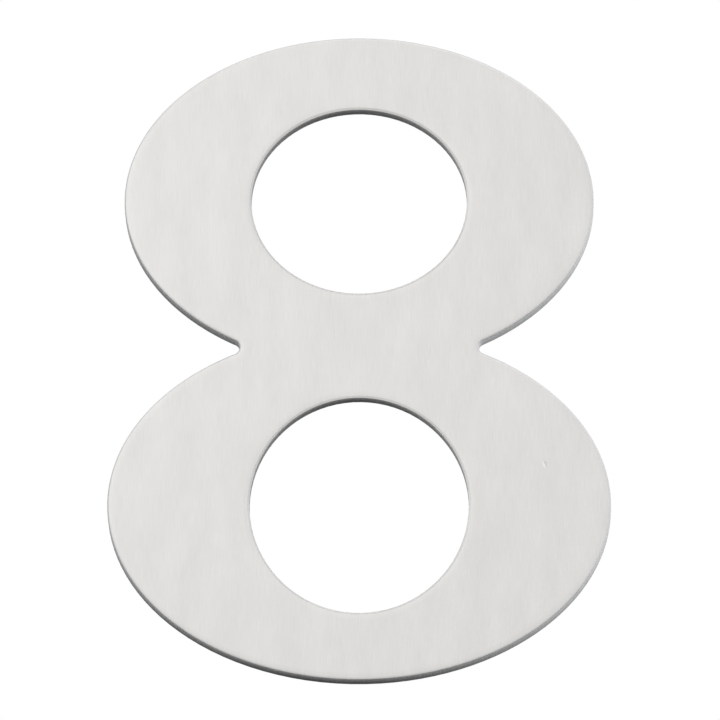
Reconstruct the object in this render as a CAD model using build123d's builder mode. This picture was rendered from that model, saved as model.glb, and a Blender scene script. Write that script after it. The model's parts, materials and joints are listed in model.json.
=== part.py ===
from build123d import *
from math import radians, tan
import os

# House number 8, one flat plate of brushed stainless steel.
# It stands upright with its back on the wall, the plane y = 0, and its face towards -Y.
# The origin is the middle of the back face. All sizes are in millimetres.

# The numeral is two elliptical rings that overlap at the waist.
# A bowl is the outside of a ring, and a counter is the hole through it.
upper_bowl_width = 107.3
upper_bowl_height = 76.8
upper_counter_width = 49.3
upper_counter_height = 43.1
lower_bowl_width = 114.8
lower_bowl_height = 81.3
lower_counter_diameter = 50.0
bowl_overlap = 8.1

# The cutter turns round a small radius where the two bowls meet at each side of the waist.
waist_notch_radius = 1.6

# The plate's outer front edge is rounded by the finishing belt, the counters' front edges are
# broken with a chamfer, and the back edges are left square.
plate_thickness = 5.0
front_edge_radius = 0.6
counter_edge_chamfer = 0.5

# Two blind holes in the back take the M4 studs of a hidden fixing.
# Each is drilled short of the face, and the tap stops short of the drilled depth.
thread_diameter = 4.0
thread_mouth_chamfer = 0.3
tap_drill_diameter = 3.3
tap_runout = 0.6
drill_point_angle = 118
front_skin = 0.8

# Heights of the two rings, with the numeral's middle at z = 0.
overall_height = upper_bowl_height + lower_bowl_height - bowl_overlap
upper_centre_z = overall_height / 2 - upper_bowl_height / 2
lower_centre_z = lower_bowl_height / 2 - overall_height / 2
upper_bowl_bottom_z = upper_centre_z - upper_bowl_height / 2
lower_bowl_top_z = lower_centre_z + lower_bowl_height / 2

# Each hole is in the middle of its stroke, and its drilled point leaves a skin behind the face.
top_hole_z = upper_centre_z + (upper_bowl_height + upper_counter_height) / 4
bottom_hole_z = lower_centre_z - (lower_bowl_height + lower_counter_diameter) / 4
tap_drill_radius = tap_drill_diameter / 2
drill_point_length = tap_drill_radius / tan(radians(drill_point_angle / 2))
full_bore_depth = plate_thickness - front_skin - drill_point_length
thread_depth = full_bore_depth - tap_runout

with BuildPart() as numeral:
    # Outline of the figure: the two bowls, less the two counters.
    # Each bowl's curve starts at the waist, inside the other bowl, so that it runs on unbroken outside.
    with BuildSketch(Plane.front):
        with BuildLine():
            upper_middle = (0, upper_centre_z)
            upper_radii = (upper_bowl_width / 2, upper_bowl_height / 2)
            EllipticalCenterArc(upper_middle, *upper_radii, start_angle=-90, arc_size=360)
        make_face()
        with BuildLine():
            lower_middle = (0, lower_centre_z)
            lower_radii = (lower_bowl_width / 2, lower_bowl_height / 2)
            EllipticalCenterArc(lower_middle, *lower_radii, start_angle=90, arc_size=360)
        make_face()
        with Locations(upper_middle):
            Ellipse(upper_counter_width / 2, upper_counter_height / 2, mode=Mode.SUBTRACT)
        with Locations(lower_middle):
            Circle(lower_counter_diameter / 2, mode=Mode.SUBTRACT)
    extrude(amount=plate_thickness)

    # The two inner corners of the waist lie within the overlap of the bowls.
    cut_corners = numeral.edges().filter_by(Axis.Y)
    waist_corners = cut_corners.filter_by_position(Axis.Z, upper_bowl_bottom_z, lower_bowl_top_z)
    fillet(waist_corners, waist_notch_radius)

    # The face rolls over at its outer edge, and drops into each counter over a chamfer.
    fillet(numeral.faces().sort_by(Axis.Y)[0].outer_wire().edges(), front_edge_radius)
    chamfer(numeral.faces().sort_by(Axis.Y)[0].inner_wires().edges(), counter_edge_chamfer)

    # Stud holes: the thread's full width, the drilled bore below it and the drill's conical point.
    with Locations(Plane.back):
        with Locations((0, top_hole_z), (0, bottom_hole_z)):
            CounterBoreHole(tap_drill_radius, thread_diameter / 2, thread_depth, depth=full_bore_depth)
    with Locations(Plane.back.offset(-full_bore_depth)):
        with Locations((0, top_hole_z), (0, bottom_hole_z)):
            Cone(
                0,
                tap_drill_radius,
                drill_point_length,
                align=(Align.CENTER, Align.CENTER, Align.MAX),
                mode=Mode.SUBTRACT,
            )

    # The mouths of the two holes are the smallest circles in the back face.
    back_circles = numeral.faces().sort_by(Axis.Y)[-1].edges().filter_by(GeomType.CIRCLE)
    chamfer(back_circles.sort_by(SortBy.RADIUS)[:2], thread_mouth_chamfer)

numeral.part.label = "numeral_plate"
os.makedirs("parts", exist_ok=True)
export_step(numeral.part, "parts/numeral_plate.step")

hole_spacing = top_hole_z - bottom_hole_z
hole_centre_z = (top_hole_z + bottom_hole_z) / 2
print(f"overall height {overall_height:.2f} mm, volume {numeral.part.volume:.1f} mm3")
print(f"stud holes {hole_spacing:.3f} mm apart, about z = {hole_centre_z:.3f}")
print(f"bore {full_bore_depth:.3f} mm deep, thread {thread_depth:.3f} mm deep")
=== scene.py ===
"""House number 8 in brushed stainless steel: its finish, its stud threads and a plain studio."""

import json
import math

import bmesh
import bpy
from bpy.props import FloatProperty, FloatVectorProperty, IntProperty, PointerProperty
from bpy.types import Operator, Panel, PropertyGroup
from mathutils import Matrix, Vector


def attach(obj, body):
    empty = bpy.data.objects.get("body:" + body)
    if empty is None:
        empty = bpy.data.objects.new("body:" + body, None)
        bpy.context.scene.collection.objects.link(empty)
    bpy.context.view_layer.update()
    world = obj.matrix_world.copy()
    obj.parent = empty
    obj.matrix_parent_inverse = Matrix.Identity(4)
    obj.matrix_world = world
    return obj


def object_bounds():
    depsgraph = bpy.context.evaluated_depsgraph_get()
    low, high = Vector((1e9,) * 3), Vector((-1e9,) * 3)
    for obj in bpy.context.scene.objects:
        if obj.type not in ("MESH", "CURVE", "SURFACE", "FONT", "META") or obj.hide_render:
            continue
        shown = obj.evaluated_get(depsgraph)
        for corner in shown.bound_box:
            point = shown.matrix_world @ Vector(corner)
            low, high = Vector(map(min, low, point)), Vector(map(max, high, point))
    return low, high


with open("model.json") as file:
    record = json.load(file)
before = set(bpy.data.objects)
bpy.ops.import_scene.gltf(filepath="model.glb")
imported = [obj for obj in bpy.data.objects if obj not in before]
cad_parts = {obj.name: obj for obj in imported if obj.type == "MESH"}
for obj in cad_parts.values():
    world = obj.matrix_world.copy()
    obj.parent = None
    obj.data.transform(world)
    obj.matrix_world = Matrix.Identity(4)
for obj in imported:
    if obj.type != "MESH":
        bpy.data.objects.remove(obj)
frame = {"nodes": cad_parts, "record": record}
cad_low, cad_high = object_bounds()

bl_info = {
    "name": "House Number",
    "version": (1, 0, 0),
    "blender": (4, 5, 0),
    "location": "3D View > Sidebar > House Number",
    "description": "Finishes and stages a brushed stainless steel house number",
    "category": "Object",
}

PLATE_NODE = "numeral_plate"
PLATE_BODY = "root"
MILLIMETRE = 0.001

# A grain's cell that is longer than the plate, along which it doesn't change.
ENDLESS = 1.0

# What faces away from the front within this cosine is the back.
BACK_COSINE = 0.95

# How much finer noise a grain holds.
GRAIN_DETAIL = 2.0

# What t * (1 - t) comes to halfway.
PARABOLA_TOP = 0.25

# Sockets of a Mix node, which has some for each kind of value.
MIX_SHARE = 0
MIX_FIRST_COLOUR = 6
MIX_SECOND_COLOUR = 7
MIX_MIXED_COLOUR = 2

THREAD_CREASE = math.radians(30)
FLOOR_SEGMENTS = 96

# The plate's back lies on the wall, and its studs stand one above the other.
front_y = cad_low.y
back_y = cad_high.y
stud_holes = next(mount for mount in frame["record"]["mounts"] if mount["name"] == "stud_holes")
stud_middle_z = stud_holes["pos_m"][2]
stud_spacing = stud_holes["dims"]["spacing_y_mm"] * MILLIMETRE
stud_hole_radius = stud_holes["dims"]["hole_r_mm"] * MILLIMETRE


def length_property(name, description, default):
    """A size in metres."""
    return FloatProperty(
        name=name, description=description, default=default, precision=5, unit="LENGTH"
    )


def place_property(name, description, default):
    """A point in metres."""
    return FloatVectorProperty(
        name=name, description=description, default=default, subtype="TRANSLATION"
    )


def angle_property(name, description, degrees):
    """An angle, given in degrees."""
    return FloatProperty(
        name=name, description=description, default=math.radians(degrees), subtype="ANGLE"
    )


def colour_property(name, description, default):
    """A linear colour."""
    return FloatVectorProperty(
        name=name, description=description, default=default, subtype="COLOR", min=0.0, max=1.0
    )


def share_property(name, description, default):
    """A share from 0 to 1."""
    return FloatProperty(
        name=name, description=description, default=default, subtype="FACTOR", min=0.0, max=1.0
    )


def power_property(name, description, default):
    """A lamp's power in watts."""
    return FloatProperty(name=name, description=description, default=default, unit="POWER")


class FigureOutline(PropertyGroup):
    """Sizes of the two rings, which the finish follows along their edges"""

    upper_bowl_width: length_property("Upper Bowl Width", "Width of the upper ring", 0.1073)
    upper_bowl_height: length_property("Upper Bowl Height", "Height of the upper ring", 0.0768)
    upper_counter_width: length_property("Upper Counter Width", "Width of the upper hole", 0.0493)
    upper_counter_height: length_property("Upper Counter Height", "Height of the upper hole", 0.0431)
    lower_bowl_width: length_property("Lower Bowl Width", "Width of the lower ring", 0.1148)
    lower_bowl_height: length_property("Lower Bowl Height", "Height of the lower ring", 0.0813)
    lower_counter_diameter: length_property("Lower Counter", "Diameter of the lower hole", 0.05)
    counter_chamfer: length_property("Counter Chamfer", "Width of the chamfer at each hole", 0.0005)
    notch_place: place_property("Notch", "Middle of the right notch", (0.028908, front_y, 0.002496))
    notch_radius: length_property("Notch Radius", "Radius of the notch at the waist", 0.0016)
    notch_spread: angle_property("Notch Spread", "Half of the arc that the notch turns through", 67)


class FaceFinish(PropertyGroup):
    """The brushed face"""

    steel: colour_property("Steel", "Colour of the brushed steel", (0.709, 0.701, 0.688))
    roughness: share_property("Roughness", "Roughness of the brushed face", 0.5)
    streak_roughness: share_property("Streak Roughness", "How much the streaks change it", 0.05)
    anisotropy: share_property("Anisotropy", "How far the grain spreads a highlight sideways", 0.7)
    hair_width: length_property("Hair Width", "Width of the finest brush lines", 0.00015)
    hair_length: length_property("Hair Length", "Length of the finest brush lines", 0.004)
    streak_width: length_property("Streak Width", "Width of the broader streaks", 0.0007)
    streak_length: length_property("Streak Length", "Length of those streaks", 0.008)
    band_width: length_property("Band Width", "Width of the broad bands left by the belt", 0.006)
    band_length: length_property("Band Length", "Length of the broad bands", 0.018)
    hair_tone: share_property("Hair Tone", "How much the finest lines change the tone", 0.08)
    streak_tone: share_property("Streak Tone", "How much the streaks change the tone", 0.04)
    band_tone: share_property("Band Tone", "How much the bands change the tone", 0.06)
    grain_depth: length_property("Grain Depth", "Depth of the brush lines", 0.0000006)
    roll_width: length_property("Roll Width", "Width of the strip that the belt rolls off", 0.0018)
    roll_depth: length_property("Roll Depth", "How far the face has sunk at its edge", 0.0002)
    chamfer_crown: length_property("Chamfer Crown", "How far a chamfer is rounded up", 0.00003)
    nick_place: place_property("Nick", "Place of the nick in the face", (0.0423, front_y, -0.0249))
    nick_width: length_property("Nick Width", "Half width of the nick", 0.0003)
    nick_length: length_property("Nick Length", "Half length of the nick", 0.0007)
    nick_depth: length_property("Nick Depth", "Depth of the nick", 0.00005)
    nick_lean: angle_property("Nick Lean", "How far the nick leans from upright", 24)
    # The nick's right side is darkened as painted shade and its left side lightened as a painted
    # highlight.
    nick_painted_shade_and_highlight: share_property("Nick Tone", "How dark and bright its two sides are", 0.45)


class EdgeFinish(PropertyGroup):
    """The dull cut edge all round the plate"""

    steel: colour_property("Steel", "Colour of the cut edge near the face", (0.42, 0.424, 0.43))
    # Back Tone darkens the cut edge towards the back: painted shade.
    back_tone: share_property("Back Tone", "Tone of that colour at the back", 0.85)
    roughness: share_property("Roughness", "Roughness of the cut edge", 0.65)
    metallic: share_property("Metallic", "How far the cut edge still shines as metal", 0.05)
    gloss: share_property("Gloss", "Gloss of the cut edge apart from its metal", 0.0)
    turn_start: angle_property("Turn Start", "Slope of the edge where the brushing fades", 12)
    turn_end: angle_property("Turn End", "Slope of the edge where the brushing ends", 55)
    chamfer_foot: length_property("Chamfer Foot", "Width of the dull strip below a chamfer", 0.00004)
    burnish: share_property("Burnish", "How far the cut edge shines beside the face", 0.2)
    burnish_depth: length_property("Burnish Depth", "How far from the face that shine ends", 0.0037)
    line_width: length_property("Line Width", "Width of the lines that the cut leaves", 0.0003)
    line_length: length_property("Line Length", "Length of those lines across the edge", 0.009)
    line_tone: share_property("Line Tone", "How much the lines change the tone", 0.25)
    line_depth: length_property("Line Depth", "Depth of the lines", 0.00002)


class BackFinish(PropertyGroup):
    """The plain rolled back, and the drilled holes in it"""

    steel: colour_property("Steel", "Colour of the rolled back", (0.56, 0.557, 0.55))
    roughness: share_property("Roughness", "Roughness of the rolled back", 0.38)
    mottle_size: length_property("Mottle Size", "Size of the fine mottle", 0.0006)
    mottle_tone: share_property("Mottle Tone", "How much the mottle changes the tone", 0.08)
    mottle_roughness: share_property("Mottle Roughness", "How much it changes the roughness", 0.06)
    rolling_width: length_property("Rolling Width", "Width of the rolling lines", 0.0012)
    rolling_length: length_property("Rolling Length", "Length of the rolling lines", 0.05)
    rolling_tone: share_property("Rolling Tone", "How much the rolling lines change the tone", 0.08)
    rolled_depth: length_property("Rolled Depth", "Depth of the mottle", 0.000002)
    drilled_steel: colour_property("Drilled Steel", "Colour of drilled steel", (0.58, 0.575, 0.565))
    drilled_roughness: share_property("Drilled Roughness", "Roughness of drilled steel", 0.3)
    drilled_line: length_property("Drilled Line", "Spacing of the drill's rings", 0.00012)
    drilled_tone: share_property("Drilled Tone", "How much those rings change the tone", 0.25)
    ring_roughness: share_property("Ring Roughness", "How much they change the roughness", 0.05)


class StudThread(PropertyGroup):
    """The M4 thread in each stud hole"""

    pitch: length_property("Pitch", "Advance of the thread in one turn", 0.0007)
    depth: length_property("Depth", "Depth of the threaded length", 0.0026)
    ridge_height: length_property("Ridge Height", "Height of the ridge above the wall", 0.00032)
    root_width: length_property("Root Width", "Width of the ridge at the wall", 0.0006)
    crest_width: length_property("Crest Width", "Width of the ridge at its crest", 0.000175)
    seat: length_property("Seat", "How far the ridge is rooted in the wall", 0.00004)
    mouth_chamfer: length_property("Mouth Chamfer", "Chamfer at the hole's mouth", 0.0003)
    segments: IntProperty(name="Segments", description="Steps in one turn", default=48)


class Studio(PropertyGroup):
    """Camera, lamps and floor"""

    lens: FloatProperty(name="Lens", description="Focal length", default=800.0, unit="CAMERA")
    azimuth: angle_property("Azimuth", "Side that the camera stands to", 0.5)
    elevation: angle_property("Elevation", "Height of the camera above the horizon", -12.3)
    roll: angle_property("Roll", "Turn of the camera about its line of sight", 0.0)
    field_width: length_property("Field Width", "Width of the view at the plate", 0.16442)
    aim: place_property("Aim", "Point that the camera looks at", (0.000184, front_y / 2, -0.000032))
    floor_height: length_property("Floor Height", "Height of the floor", -1.25)
    floor_radius: length_property("Floor Radius", "Radius of the floor", 3.5)
    floor_fade: length_property("Floor Fade", "Radius where it starts to fade into white", 1.2)
    floor_colour: colour_property("Floor Colour", "Colour of the floor", (0.75, 0.75, 0.74))
    floor_roughness: share_property("Floor Roughness", "Roughness of the floor", 0.9)
    floor_bounce: share_property("Floor Bounce", "Share of its light that it throws back", 0.02)
    key_place: place_property("Key Lamp", "Place of the lamp at the upper left", (-0.2, -0.26, 0.1))
    key_size: length_property("Key Size", "Width of that lamp", 0.3)
    key_power: power_property("Key Power", "Power of that lamp", 0.14)
    top_place: place_property("Top Lamp", "Place of the lamp overhead", (0.0, -0.9, 1.3))
    top_size: length_property("Top Size", "Width of the overhead lamp", 1.5)
    top_power: power_property("Top Power", "Power of the overhead lamp", 9.5)
    glow_place: place_property("Glow", "Place of the lamp that upper edges mirror", (0.0, -0.4, 1.2))
    glow_size: length_property("Glow Size", "Width of that lamp", 1.6)
    glow_power: power_property("Glow Power", "Power of that lamp", 2.4)
    side_place: place_property("Side Lamp", "Place of the lamp at the right", (0.9, front_y / 2, 0.0))
    side_width: length_property("Side Width", "Width of that lamp", 0.09)
    side_height: length_property("Side Height", "Height of that lamp", 0.4)
    side_power: power_property("Side Power", "Power of that lamp", 6.5)


class HouseNumber(PropertyGroup):
    """All that can be changed about the house number"""

    outline: PointerProperty(type=FigureOutline, name="Outline", description="Sizes of the figure")
    face: PointerProperty(type=FaceFinish, name="Face", description="Finish of the face")
    edge: PointerProperty(type=EdgeFinish, name="Edge", description="Finish of the cut edge")
    back: PointerProperty(type=BackFinish, name="Back", description="Finish of the back")
    thread: PointerProperty(type=StudThread, name="Thread", description="Thread in the stud holes")
    studio: PointerProperty(type=Studio, name="Studio", description="Camera, lamps and floor")


class Socket:
    """An output of a shader node that works in expressions: each operator adds a Math node"""

    def __init__(self, shader, output):
        self.shader = shader
        self.output = output

    def sibling(self, name):
        """Another output of the same node."""
        return Socket(self.shader, self.output.node.outputs[name])

    def __add__(self, other):
        return self.shader.math("ADD", self, other)

    def __sub__(self, other):
        return self.shader.math("SUBTRACT", self, other)

    def __rsub__(self, other):
        return self.shader.math("SUBTRACT", other, self)

    def __mul__(self, other):
        return self.shader.math("MULTIPLY", self, other)

    def __truediv__(self, other):
        return self.shader.math("DIVIDE", self, other)

    def __pow__(self, other):
        return self.shader.math("POWER", self, other)

    __radd__ = __add__
    __rmul__ = __mul__


class Shader:
    """A node tree, and what adds nodes to it"""

    def __init__(self, owner):
        owner.use_nodes = True
        self.tree = owner.node_tree
        self.tree.nodes.clear()

    def node(self, kind, settings=None, sockets=None, output=0):
        """Add a node with its settings and its sockets' values or links, and return an output."""
        node = self.tree.nodes.new(kind)
        for name, setting in (settings or {}).items():
            setattr(node, name, setting)
        for name, value in (sockets or {}).items():
            if isinstance(value, Socket):
                self.tree.links.new(value.output, node.inputs[name])
            else:
                node.inputs[name].default_value = value
        if node.outputs:
            return Socket(self, node.outputs[output])

    def math(self, operation, *values):
        """A Math node."""
        return self.node("ShaderNodeMath", {"operation": operation}, dict(enumerate(values)))

    def vector(self, operation, *values):
        """A Vector Math node that takes two vectors."""
        return self.node("ShaderNodeVectorMath", {"operation": operation}, dict(enumerate(values)))

    def tint(self, colour, tone):
        """A colour made lighter or darker."""
        sockets = {"Vector": colour, "Scale": tone}
        return self.node("ShaderNodeVectorMath", {"operation": "SCALE"}, sockets)

    def smooth_step(self, value, start, end):
        """0 before start, 1 past end and smooth between them."""
        sockets = {"Value": value, "From Min": start, "From Max": end}
        return self.node("ShaderNodeMapRange", {"interpolation_type": "SMOOTHSTEP"}, sockets)

    def mix_colours(self, first, second, share):
        """A Mix node between two colours."""
        settings = {"data_type": "RGBA"}
        sockets = {MIX_SHARE: share, MIX_FIRST_COLOUR: first, MIX_SECOND_COLOUR: second}
        return self.node("ShaderNodeMix", settings, sockets, output=MIX_MIXED_COLOUR)

    def grain(self, point, cell):
        """Noise of about one unit either way, in cells of a given size along X, Y and Z."""
        stretched = self.vector("DIVIDE", point, cell)
        sockets = {"Vector": stretched, "Scale": 1.0, "Detail": GRAIN_DETAIL}
        return self.node("ShaderNodeTexNoise", sockets=sockets) * 2 - 1


def blend(first, second, share):
    """A number part of the way from one value to another."""
    return first + (second - first) * share


def distance(across, up):
    """Length of the line between two points that are so far apart across and up."""
    return (across * across + up * up) ** 0.5


def depth_in_ellipse(x, z, middle_z, width, height):
    """Distance inside an ellipse about the plate's middle line, and less than zero outside it."""
    across = x / (width / 2)
    up = (z - middle_z) / (height / 2)
    reach = distance(across, up)
    slope = distance(across / (width / 2), up / (height / 2))
    return (1 - reach) * reach / slope


def ring_middles(outline):
    """Heights of the middles of the upper and the lower ring."""
    upper_z = cad_high.z - outline.upper_bowl_height / 2
    lower_z = cad_low.z + outline.lower_bowl_height / 2
    return upper_z, lower_z


def distance_to_outside(shader, x, z, outline):
    """Distance on the face to the outer edge: the two bowls, and the notches between them."""
    upper_z, lower_z = ring_middles(outline)
    upper_size = (outline.upper_bowl_width, outline.upper_bowl_height)
    lower_size = (outline.lower_bowl_width, outline.lower_bowl_height)
    upper_bowl = depth_in_ellipse(x, z, upper_z, *upper_size)
    lower_bowl = depth_in_ellipse(x, z, lower_z, *lower_size)
    to_bowls = shader.math("MAXIMUM", upper_bowl, lower_bowl)
    inwards = outline.notch_place[0] - shader.math("ABSOLUTE", x)
    from_notch = distance(inwards, z - outline.notch_place[2])
    facing_notch = shader.math("GREATER_THAN", inwards, from_notch * math.cos(outline.notch_spread))
    return blend(to_bowls, from_notch - outline.notch_radius, facing_notch)


def distance_to_counter(shader, x, z, outline):
    """Distance on the face to the nearer of the two holes."""
    upper_z, lower_z = ring_middles(outline)
    upper_size = (outline.upper_counter_width, outline.upper_counter_height)
    lower_size = (outline.lower_counter_diameter, outline.lower_counter_diameter)
    upper_counter = depth_in_ellipse(x, z, upper_z, *upper_size)
    lower_counter = depth_in_ellipse(x, z, lower_z, *lower_size)
    return shader.math("MAXIMUM", upper_counter, lower_counter) * -1


def nick_shape(shader, x, z, face):
    """A small leaning dent: its depth, and its two sides for painted shade and a painted highlight, 1
    at the right and -1 at the left.
    """
    right = x - face.nick_place[0]
    up = z - face.nick_place[2]
    lean_cos = math.cos(face.nick_lean)
    lean_sin = math.sin(face.nick_lean)
    across = (right * lean_cos + up * lean_sin) / face.nick_width
    along = (up * lean_cos - right * lean_sin) / face.nick_length
    falloff = shader.math("EXPONENT", (across * across + along * along) * -1)
    return falloff * face.nick_depth, falloff * across


def stud_hole_mask(shader, x, z, thread):
    """1 within the mouth of either stud hole, right through the plate."""
    from_middle = shader.math("ABSOLUTE", z - stud_middle_z)
    from_hole_z = from_middle - stud_spacing / 2
    mouth_radius = stud_hole_radius + thread.mouth_chamfer
    return shader.math("LESS_THAN", distance(x, from_hole_z), mouth_radius + thread.seat)


def drilled_rings(shader, point, back):
    """Fine rings that a drill or a tap leaves round the wall of a hole."""
    return shader.grain(point, (ENDLESS, back.drilled_line, ENDLESS))


def plate_material(number):
    """Brushed face, dull cut edge, rolled back and drilled holes of the one plate."""
    outline, face, edge, back = number.outline, number.face, number.edge, number.back
    material = bpy.data.materials.new("brushed_stainless")
    shader = Shader(material)
    coordinates = shader.node("ShaderNodeTexCoord", output="Object")
    x = shader.node("ShaderNodeSeparateXYZ", sockets={0: coordinates})
    y = x.sibling("Y")
    z = x.sibling("Z")
    normal_x = shader.node("ShaderNodeSeparateXYZ", sockets={0: coordinates.sibling("Normal")})
    normal_y = normal_x.sibling("Y")

    # The belt's finish runs over the eased front edges, and fades out on the cut edge.
    to_counter = distance_to_counter(shader, x, z, outline)
    to_edge = shader.math("MINIMUM", distance_to_outside(shader, x, z, outline), to_counter)
    on_face = shader.smooth_step(normal_y, -math.cos(edge.turn_end), -math.cos(edge.turn_start))
    beside_counter = shader.math("LESS_THAN", to_counter, outline.counter_chamfer)
    on_chamfer = shader.smooth_step(to_counter, 0.0, edge.chamfer_foot)
    on_face = blend(on_face, on_chamfer, beside_counter)
    on_back = shader.math("GREATER_THAN", normal_y, BACK_COSINE)
    in_hole = stud_hole_mask(shader, x, z, number.thread) * (1 - on_face)
    beside_face = shader.smooth_step(y, front_y + edge.burnish_depth, front_y)
    brushed = shader.math("MAXIMUM", on_face, beside_face * edge.burnish)

    # Brushed face.
    hairs = shader.grain(coordinates, (face.hair_width, ENDLESS, face.hair_length))
    streaks = shader.grain(coordinates, (face.streak_width, ENDLESS, face.streak_length))
    bands = shader.grain(coordinates, (face.band_width, ENDLESS, face.band_length))
    from_easing = shader.math("MAXIMUM", to_edge, outline.counter_chamfer)
    rolled_off = shader.math("MAXIMUM", 1 - from_easing / face.roll_width, 0.0) ** 2
    face_tone = 1 + hairs * face.hair_tone + streaks * face.streak_tone + bands * face.band_tone
    nick, nick_shaded_and_lit_sides = nick_shape(shader, x, z, face)
    # The nick's right side takes painted shade and its left side a painted highlight; the dent itself
    # is wear.
    face_colour = shader.tint(face.steel, face_tone - nick_shaded_and_lit_sides * face.nick_painted_shade_and_highlight)
    face_roughness = face.roughness + streaks * face.streak_roughness
    grain_height = (hairs + streaks) * face.grain_depth

    # Shape of the face: rounded chamfers, edges that roll off, and one nick.
    over_chamfer = to_counter / outline.counter_chamfer
    crown = shader.math("MAXIMUM", over_chamfer * (1 - over_chamfer) / PARABOLA_TOP, 0.0)
    face_shape = crown * face.chamfer_crown - rolled_off * face.roll_depth - nick * on_face

    # Cut edge, with lines from front to back, and painted shade that darkens it towards the back.
    cut_lines = shader.grain(coordinates, (edge.line_width, edge.line_length, edge.line_width))
    # Painted shade: the cut edge grows darker towards the back.
    painted_shade_towards_back = shader.smooth_step(y, front_y, back_y)
    edge_lines_and_painted_shade = blend(1.0, edge.back_tone, painted_shade_towards_back) * (1 + cut_lines * edge.line_tone)
    edge_colour = shader.tint(edge.steel, edge_lines_and_painted_shade)
    edge_height = cut_lines * edge.line_depth

    # Rolled back.
    mottle = shader.grain(coordinates, (back.mottle_size,) * 3)
    rolling = shader.grain(coordinates, (back.rolling_width, ENDLESS, back.rolling_length))
    back_tone = 1 + mottle * back.mottle_tone + rolling * back.rolling_tone
    back_colour = shader.tint(back.steel, back_tone)
    back_roughness = back.roughness + mottle * back.mottle_roughness
    back_height = mottle * back.rolled_depth

    # Drilled holes.
    rings = drilled_rings(shader, coordinates, back)
    drilled_colour = shader.tint(back.drilled_steel, 1 + rings * back.drilled_tone)

    # All four together, with the bump's heights in metres.
    colour = shader.mix_colours(edge_colour, face_colour, brushed)
    colour = shader.mix_colours(colour, back_colour, on_back)
    colour = shader.mix_colours(colour, drilled_colour, in_hole)
    roughness = blend(edge.roughness, face_roughness, brushed)
    roughness = blend(roughness, back_roughness, on_back)
    roughness = blend(roughness, back.drilled_roughness, in_hole)
    shining = shader.math("MAXIMUM", shader.math("MAXIMUM", brushed, on_back), in_hole)
    height = face_shape + blend(blend(edge_height, grain_height, brushed), back_height, on_back)
    relief = shader.node("ShaderNodeBump", sockets={"Distance": 1.0, "Height": height})
    surface = shader.node(
        "ShaderNodeBsdfPrincipled",
        sockets={
            "Base Color": colour,
            "Metallic": blend(edge.metallic, 1.0, shining),
            "Roughness": roughness,
            "Normal": relief,
            "Anisotropic": face.anisotropy,
            "Specular IOR Level": edge.gloss,
        },
    )
    shader.node("ShaderNodeOutputMaterial", sockets={"Surface": surface})
    return material


def thread_material(number):
    """Bright steel as the tap leaves it."""
    back = number.back
    material = bpy.data.materials.new("tapped_stainless")
    shader = Shader(material)
    coordinates = shader.node("ShaderNodeTexCoord", output="Object")
    rings = drilled_rings(shader, coordinates, back)
    surface = shader.node(
        "ShaderNodeBsdfPrincipled",
        sockets={
            "Base Color": shader.tint(back.drilled_steel, 1 + rings * back.drilled_tone),
            "Metallic": 1.0,
            "Roughness": back.drilled_roughness + rings * back.ring_roughness,
        },
    )
    shader.node("ShaderNodeOutputMaterial", sockets={"Surface": surface})
    return material


def in_sight(shader):
    """1 for what is seen, also in metal and through glass, and 0 for light on dull surfaces."""
    camera_ray = shader.node("ShaderNodeLightPath", output="Is Camera Ray")
    mirrored = shader.math("MAXIMUM", camera_ray, camera_ray.sibling("Is Glossy Ray"))
    return shader.math("MAXIMUM", mirrored, camera_ray.sibling("Is Transmission Ray"))


def floor_material(studio):
    """Plain pale floor, which fades into the white far out and throws little light back up."""
    material = bpy.data.materials.new("pale_floor")
    shader = Shader(material)
    x = shader.node(
        "ShaderNodeSeparateXYZ", sockets={0: shader.node("ShaderNodeTexCoord", output="Object")}
    )
    from_middle = distance(x, x.sibling("Y"))
    fade = shader.smooth_step(from_middle, studio.floor_radius, studio.floor_fade)
    seen = in_sight(shader)
    floor_tone = blend(studio.floor_bounce, 1.0, seen)
    surface = shader.node(
        "ShaderNodeBsdfPrincipled",
        sockets={
            "Base Color": shader.tint(studio.floor_colour, floor_tone),
            "Roughness": studio.floor_roughness,
            "Specular IOR Level": 0.0,
            "Alpha": blend(1.0, fade, seen),
        },
    )
    shader.node("ShaderNodeOutputMaterial", sockets={"Surface": surface})
    return material


def add_mesh_object(name, shape, material):
    """Make an object of a finished bmesh."""
    mesh = bpy.data.meshes.new(name)
    shape.to_mesh(mesh)
    shape.free()
    mesh.materials.append(material)
    made = bpy.data.objects.new(name, mesh)
    bpy.context.scene.collection.objects.link(made)
    return made


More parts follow.
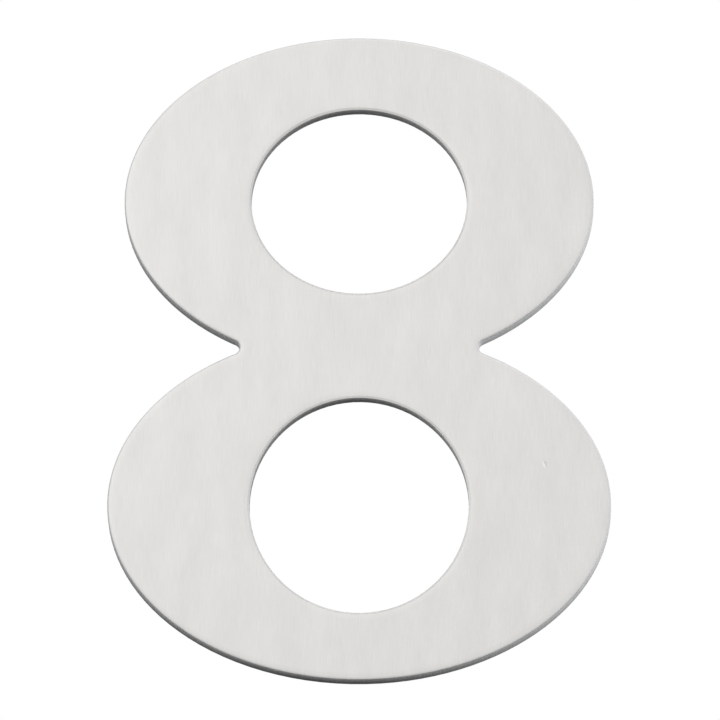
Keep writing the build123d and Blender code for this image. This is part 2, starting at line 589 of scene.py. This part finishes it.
def thread_ridge(thread, hole_z):
    """Right-hand ridge of the thread in one stud hole, from the mouth down to the drilled end."""
    root = stud_hole_radius + thread.seat
    crest = stud_hole_radius - thread.ridge_height
    start_y = back_y - thread.root_width / 2 - thread.seat
    turns = (start_y - back_y + thread.depth) / thread.pitch
    section = (
        (root, -thread.root_width / 2),
        (crest, -thread.crest_width / 2),
        (crest, thread.crest_width / 2),
        (root, thread.root_width / 2),
    )
    shape = bmesh.new()
    corners = [shape.verts.new((radius, start_y + rise, hole_z)) for radius, rise in section]
    sides = [shape.edges.new(pair) for pair in zip(corners, corners[1:] + corners[:1])]
    steps = round(turns * thread.segments)
    bmesh.ops.spin(
        shape,
        geom=corners + sides,
        cent=(0.0, 0.0, hole_z),
        axis=(0.0, 1.0, 0.0),
        dvec=(0.0, -thread.pitch / thread.segments, 0.0),
        angle=-math.tau * steps / thread.segments,
        steps=steps,
        use_merge=False,
    )
    open_edges = [side for side in shape.edges if side.is_boundary]
    bmesh.ops.holes_fill(shape, edges=open_edges, sides=len(section))
    bmesh.ops.recalc_face_normals(shape, faces=shape.faces)

    # The chamfer at the mouth cuts the first turn away, down to its cone.
    for corner in shape.verts:
        from_axis = math.hypot(corner.co.x, corner.co.z - hole_z)
        depth = back_y - corner.co.y
        cone_radius = stud_hole_radius + thread.mouth_chamfer - depth + thread.seat
        if from_axis < cone_radius:
            corner.co.x *= cone_radius / from_axis
            corner.co.z = hole_z + (corner.co.z - hole_z) * cone_radius / from_axis
    return shape


class HOUSENUMBER_OT_finish_plate(Operator):
    """Give the plate its brushed face, dull cut edge and rolled back"""

    bl_idname = "house_number.finish_plate"
    bl_label = "Finish Plate"

    def execute(self, context):
        plate = frame["nodes"][PLATE_NODE]
        plate.material_slots[0].material = plate_material(context.scene.house_number)
        return {"FINISHED"}


class HOUSENUMBER_OT_cut_stud_threads(Operator):
    """Cut the threads in the two stud holes of the back"""

    bl_idname = "house_number.cut_stud_threads"
    bl_label = "Cut Stud Threads"

    def execute(self, context):
        number = context.scene.house_number
        material = thread_material(number)
        hole_heights = {
            "stud_thread_upper": stud_middle_z + stud_spacing / 2,
            "stud_thread_lower": stud_middle_z - stud_spacing / 2,
        }
        for name, hole_z in hole_heights.items():
            thread = add_mesh_object(name, thread_ridge(number.thread, hole_z), material)
            thread.data.shade_smooth()
            thread.data.set_sharp_from_angle(angle=THREAD_CREASE)
            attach(thread, PLATE_BODY)
        return {"FINISHED"}


def add_lamp(name, place, size, power, in_metal=True):
    """A soft lamp that faces the plate, and that the camera doesn't see."""
    light = bpy.data.lights.new(name, "AREA")
    light.shape = "RECTANGLE"
    light.size, light.size_y = size
    light.energy = power
    lamp = bpy.data.objects.new(name, light)
    lamp.location = place
    lamp.rotation_euler = (-Vector(place)).to_track_quat("-Z", "Y").to_euler()
    lamp.visible_camera = False
    lamp.visible_glossy = in_metal
    bpy.context.scene.collection.objects.link(lamp)


def add_floor(studio):
    """A round pale floor, well below the plate."""
    shape = bmesh.new()
    bmesh.ops.create_circle(
        shape,
        cap_ends=True,
        segments=FLOOR_SEGMENTS,
        radius=studio.floor_radius,
        matrix=Matrix.Translation((0.0, 0.0, studio.floor_height)),
    )
    add_mesh_object("floor", shape, floor_material(studio))


def add_surroundings(scene):
    """White surroundings, which give most of the light."""
    scene.world = bpy.data.worlds.new("white_studio")
    shader = Shader(scene.world)
    sockets = {"Color": (1.0, 1.0, 1.0, 1.0), "Strength": 1.0}
    white = shader.node("ShaderNodeBackground", sockets=sockets)
    shader.node("ShaderNodeOutputWorld", sockets={"Surface": white})


def add_camera(scene, studio):
    """A long lens at the photograph's viewing angle."""
    data = bpy.data.cameras.new("camera")
    data.lens = studio.lens
    camera = bpy.data.objects.new("camera", data)
    back = Vector(
        (
            math.sin(studio.azimuth) * math.cos(studio.elevation),
            -math.cos(studio.azimuth) * math.cos(studio.elevation),
            math.sin(studio.elevation),
        )
    )
    reach = studio.field_width * data.lens / data.sensor_width
    camera.location = Vector(studio.aim) + back * reach
    turn = (-back).to_track_quat("-Z", "Y").to_matrix() @ Matrix.Rotation(studio.roll, 3, "Z")
    camera.rotation_euler = turn.to_euler()
    scene.collection.objects.link(camera)
    scene.camera = camera


class HOUSENUMBER_OT_set_stage(Operator):
    """Set the floor, the lamps, the surroundings and the camera"""

    bl_idname = "house_number.set_stage"
    bl_label = "Set Stage"

    def execute(self, context):
        scene = context.scene
        studio = scene.house_number.studio
        add_floor(studio)
        key_size = (studio.key_size, studio.key_size)
        top_size = (studio.top_size, studio.top_size)
        glow_size = (studio.glow_size, studio.glow_size)
        side_size = (studio.side_width, studio.side_height)
        add_lamp("key_lamp", studio.key_place, key_size, studio.key_power)
        add_lamp("top_lamp", studio.top_place, top_size, studio.top_power, in_metal=False)
        add_lamp("glow_lamp", studio.glow_place, glow_size, studio.glow_power)
        add_lamp("side_lamp", studio.side_place, side_size, studio.side_power, in_metal=False)
        add_surroundings(scene)
        add_camera(scene, studio)
        scene.view_settings.view_transform = "Standard"
        return {"FINISHED"}


class HOUSENUMBER_PT_steps(Panel):
    """The steps that dress the house number"""

    bl_idname = "HOUSENUMBER_PT_steps"
    bl_label = "House Number"
    bl_space_type = "VIEW_3D"
    bl_region_type = "UI"
    bl_category = "House Number"

    def draw(self, context):
        number = context.scene.house_number
        for step, groups in STEPS:
            self.layout.operator(step.bl_idname)
            for group in groups:
                box = self.layout.box()
                settings = getattr(number, group)
                for name in settings.bl_rna.properties.keys():
                    if name not in ("rna_type", "name"):
                        box.prop(settings, name)


STEPS = (
    (HOUSENUMBER_OT_finish_plate, ("outline", "face", "edge", "back")),
    (HOUSENUMBER_OT_cut_stud_threads, ("thread",)),
    (HOUSENUMBER_OT_set_stage, ("studio",)),
)

CLASSES = (
    FigureOutline,
    FaceFinish,
    EdgeFinish,
    BackFinish,
    StudThread,
    Studio,
    HouseNumber,
    HOUSENUMBER_OT_finish_plate,
    HOUSENUMBER_OT_cut_stud_threads,
    HOUSENUMBER_OT_set_stage,
    HOUSENUMBER_PT_steps,
)


def register():
    for each in CLASSES:
        bpy.utils.register_class(each)
    bpy.types.Scene.house_number = PointerProperty(type=HouseNumber)


def unregister():
    del bpy.types.Scene.house_number
    for each in reversed(CLASSES):
        bpy.utils.unregister_class(each)


def main():
    register()
    bpy.ops.house_number.finish_plate()
    bpy.ops.house_number.cut_stud_threads()
    bpy.ops.house_number.set_stage()


if __name__ == "__main__":
    main()
